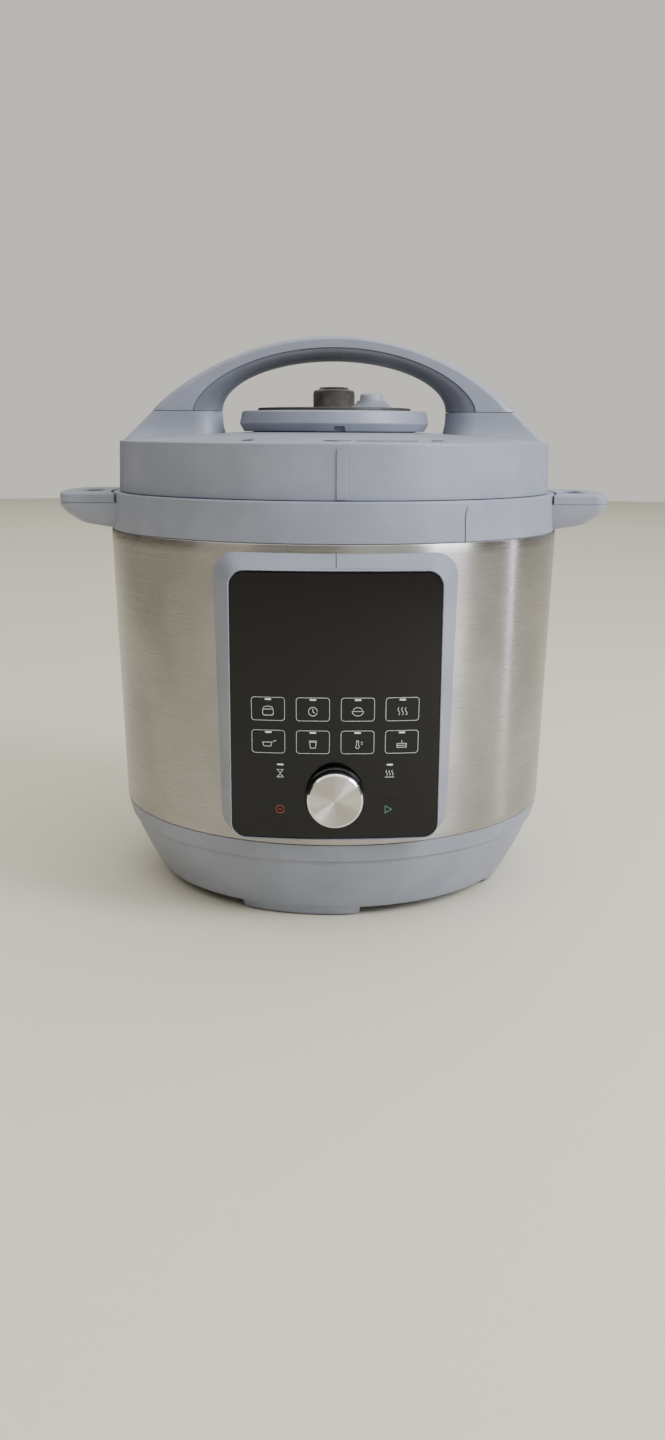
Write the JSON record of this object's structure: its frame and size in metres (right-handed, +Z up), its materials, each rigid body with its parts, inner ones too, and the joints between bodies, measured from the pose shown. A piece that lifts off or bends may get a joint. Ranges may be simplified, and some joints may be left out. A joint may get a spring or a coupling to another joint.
{
  "type": "electric pressure cooker",
  "caption": "Round electric pressure cooker with a twist-off lid, arched lid handle, side handles and a front panel of keys with a turning knob.",
  "frame": {"origin": "on the counter, under the middle of the cooker's bounding box", "axes": "+Z up, -Y out of the control panel at the front, +X to the right as seen from the front"},
  "size_m": [0.3356, 0.313, 0.3287],
  "materials": {
    "grey_plastic": "fine moulded texture, semi-matt",
    "grip_plastic": "moulded, matt",
    "brushed_steel": "brushed round the body",
    "pressed_steel": "pressed and polished",
    "gloss_black": "gloss",
    "dark_plastic": "satin",
    "valve_plastic": "satin",
    "clear_white": "translucent",
    "spun_aluminium": "spun face, bright edge",
    "cast_aluminium": "cast",
    "silicone": "satin",
    "rubber": "matt",
    "circuit_board": "lacquered",
    "clear_plastic": "clear",
    "screw_steel": "plated"
  },
  "bodies": {
    "base": {"base_housing": "grey_plastic", "foot_pad_1": "rubber", "foot_pad_2": "rubber", "foot_pad_3": "rubber", "foot_pad_4": "rubber", "bottom_cover": "dark_plastic", "bottom_screw_1": "screw_steel", "bottom_screw_2": "screw_steel", "bottom_screw_3": "screw_steel", "outer_housing": "brushed_steel", "top_ring": "grey_plastic", "handle_cap_left": "grey_plastic", "handle_cap_right": "grey_plastic", "inner_liner": "pressed_steel", "locking_flange": "pressed_steel", "heater_plate": "cast_aluminium", "sensor_spring": "screw_steel", "power_inlet": "dark_plastic", "power_board": "circuit_board", "pressure_switch": "dark_plastic", "thermal_fuse": "screw_steel", "control_board": "circuit_board", "display_module": "dark_plastic", "panel_bezel": "grey_plastic", "panel_fascia": "gloss_black", "encoder_body": "screw_steel"},
    "temperature_sensor": {"sensor_plunger": "spun_aluminium"},
    "shaft": {"knob_shaft": "screw_steel"},
    "knob": {"control_knob": "dark_plastic", "knob_face": "spun_aluminium"},
    "body_program_key_1": {"program_key_1": "gloss_black"},
    "body_program_key_2": {"program_key_2": "gloss_black"},
    "body_program_key_3": {"program_key_3": "gloss_black"},
    "body_program_key_4": {"program_key_4": "gloss_black"},
    "body_program_key_5": {"program_key_5": "gloss_black"},
    "body_program_key_6": {"program_key_6": "gloss_black"},
    "body_program_key_7": {"program_key_7": "gloss_black"},
    "body_program_key_8": {"program_key_8": "gloss_black"},
    "body_delay_start_key": {"delay_start_key": "gloss_black"},
    "body_keep_warm_key": {"keep_warm_key": "gloss_black"},
    "body_cancel_key": {"cancel_key": "gloss_black"},
    "body_start_key": {"start_key": "gloss_black"},
    "collector": {"condensation_collector": "clear_plastic"},
    "pot": {"inner_pot": "pressed_steel"},
    "seal": {"sealing_ring": "silicone"},
    "lid": {"lid_shell": "grey_plastic", "lid_handle_cover": "grey_plastic", "lid_handle_grip": "grip_plastic", "handle_screw_left": "screw_steel", "handle_screw_right": "screw_steel", "lid_disc": "pressed_steel", "sealing_ring_rack": "pressed_steel", "steam_pipe": "screw_steel", "anti_block_shield": "pressed_steel", "valve_deck": "grey_plastic", "deck_plate": "dark_plastic"},
    "release_button": {"quick_release_button": "clear_white"},
    "pressure_valve": {"steam_valve": "valve_plastic"},
    "float": {"float_valve": "pressed_steel", "float_cap": "silicone"}
  },
  "joints": [
    {"name": "lid_lift", "type": "slide", "parent": "base", "child": "seal", "axis": [0, 0, 1], "range_m": [0, 0.4]},
    {"name": "lid_turn", "type": "hinge", "parent": "seal", "child": "lid", "pos_m": [0, 0, 0.2413], "axis": [0, 0, 1], "range_deg": [0, 32]},
    {"name": "pot_lift", "type": "slide", "parent": "base", "child": "pot", "axis": [0, 0, 1], "range_m": [0, 0.2]},
    {"name": "quick_release_press", "type": "slide", "parent": "lid", "child": "release_button", "axis": [0, 0, -1], "range_m": [0, 0.004], "stiffness_N_per_m": 300},
    {"name": "steam_valve_lift", "type": "slide", "parent": "lid", "child": "pressure_valve", "axis": [0, 0, 1], "range_m": [0, 0.002]},
    {"name": "float_valve_rise", "type": "slide", "parent": "lid", "child": "float", "axis": [0, 0, 1], "range_m": [0, 0.004]},
    {"name": "knob_press", "type": "slide", "parent": "base", "child": "shaft", "axis": [0, 1, 0], "range_m": [0, 0.0015], "stiffness_N_per_m": 800},
    {"name": "knob_turn", "type": "hinge", "parent": "shaft", "child": "knob", "pos_m": [0, -0.15, 0.0844], "axis": [0, 1, 0], "continuous": true},
    {"name": "program_key_1_press", "type": "slide", "parent": "base", "child": "body_program_key_1", "axis": [0, 1, 0], "range_m": [0, 0.0006], "stiffness_N_per_m": 1200},
    {"name": "program_key_2_press", "type": "slide", "parent": "base", "child": "body_program_key_2", "axis": [0, 1, 0], "range_m": [0, 0.0006], "stiffness_N_per_m": 1200},
    {"name": "program_key_3_press", "type": "slide", "parent": "base", "child": "body_program_key_3", "axis": [0, 1, 0], "range_m": [0, 0.0006], "stiffness_N_per_m": 1200},
    {"name": "program_key_4_press", "type": "slide", "parent": "base", "child": "body_program_key_4", "axis": [0, 1, 0], "range_m": [0, 0.0006], "stiffness_N_per_m": 1200},
    {"name": "program_key_5_press", "type": "slide", "parent": "base", "child": "body_program_key_5", "axis": [0, 1, 0], "range_m": [0, 0.0006], "stiffness_N_per_m": 1200},
    {"name": "program_key_6_press", "type": "slide", "parent": "base", "child": "body_program_key_6", "axis": [0, 1, 0], "range_m": [0, 0.0006], "stiffness_N_per_m": 1200},
    {"name": "program_key_7_press", "type": "slide", "parent": "base", "child": "body_program_key_7", "axis": [0, 1, 0], "range_m": [0, 0.0006], "stiffness_N_per_m": 1200},
    {"name": "program_key_8_press", "type": "slide", "parent": "base", "child": "body_program_key_8", "axis": [0, 1, 0], "range_m": [0, 0.0006], "stiffness_N_per_m": 1200},
    {"name": "delay_start_key_press", "type": "slide", "parent": "base", "child": "body_delay_start_key", "axis": [0, 1, 0], "range_m": [0, 0.0006], "stiffness_N_per_m": 1200},
    {"name": "keep_warm_key_press", "type": "slide", "parent": "base", "child": "body_keep_warm_key", "axis": [0, 1, 0], "range_m": [0, 0.0006], "stiffness_N_per_m": 1200},
    {"name": "cancel_key_press", "type": "slide", "parent": "base", "child": "body_cancel_key", "axis": [0, 1, 0], "range_m": [0, 0.0006], "stiffness_N_per_m": 1200},
    {"name": "start_key_press", "type": "slide", "parent": "base", "child": "body_start_key", "axis": [0, 1, 0], "range_m": [0, 0.0006], "stiffness_N_per_m": 1200},
    {"name": "sensor_press", "type": "slide", "parent": "base", "child": "temperature_sensor", "axis": [0, 0, -1], "range_m": [0, 0.002], "stiffness_N_per_m": 600, "deforming": ["sensor_spring"]},
    {"name": "collector_pull", "type": "slide", "parent": "base", "child": "collector", "axis": [0, 1, 0], "range_m": [0, 0.04]}
  ],
  "couplings": [
    {"joint": "pot_lift", "follows": "lid_lift", "ratio": 0.5},
    {"joint": "steam_valve_lift", "follows": "quick_release_press", "ratio": 0.5}
  ]
}
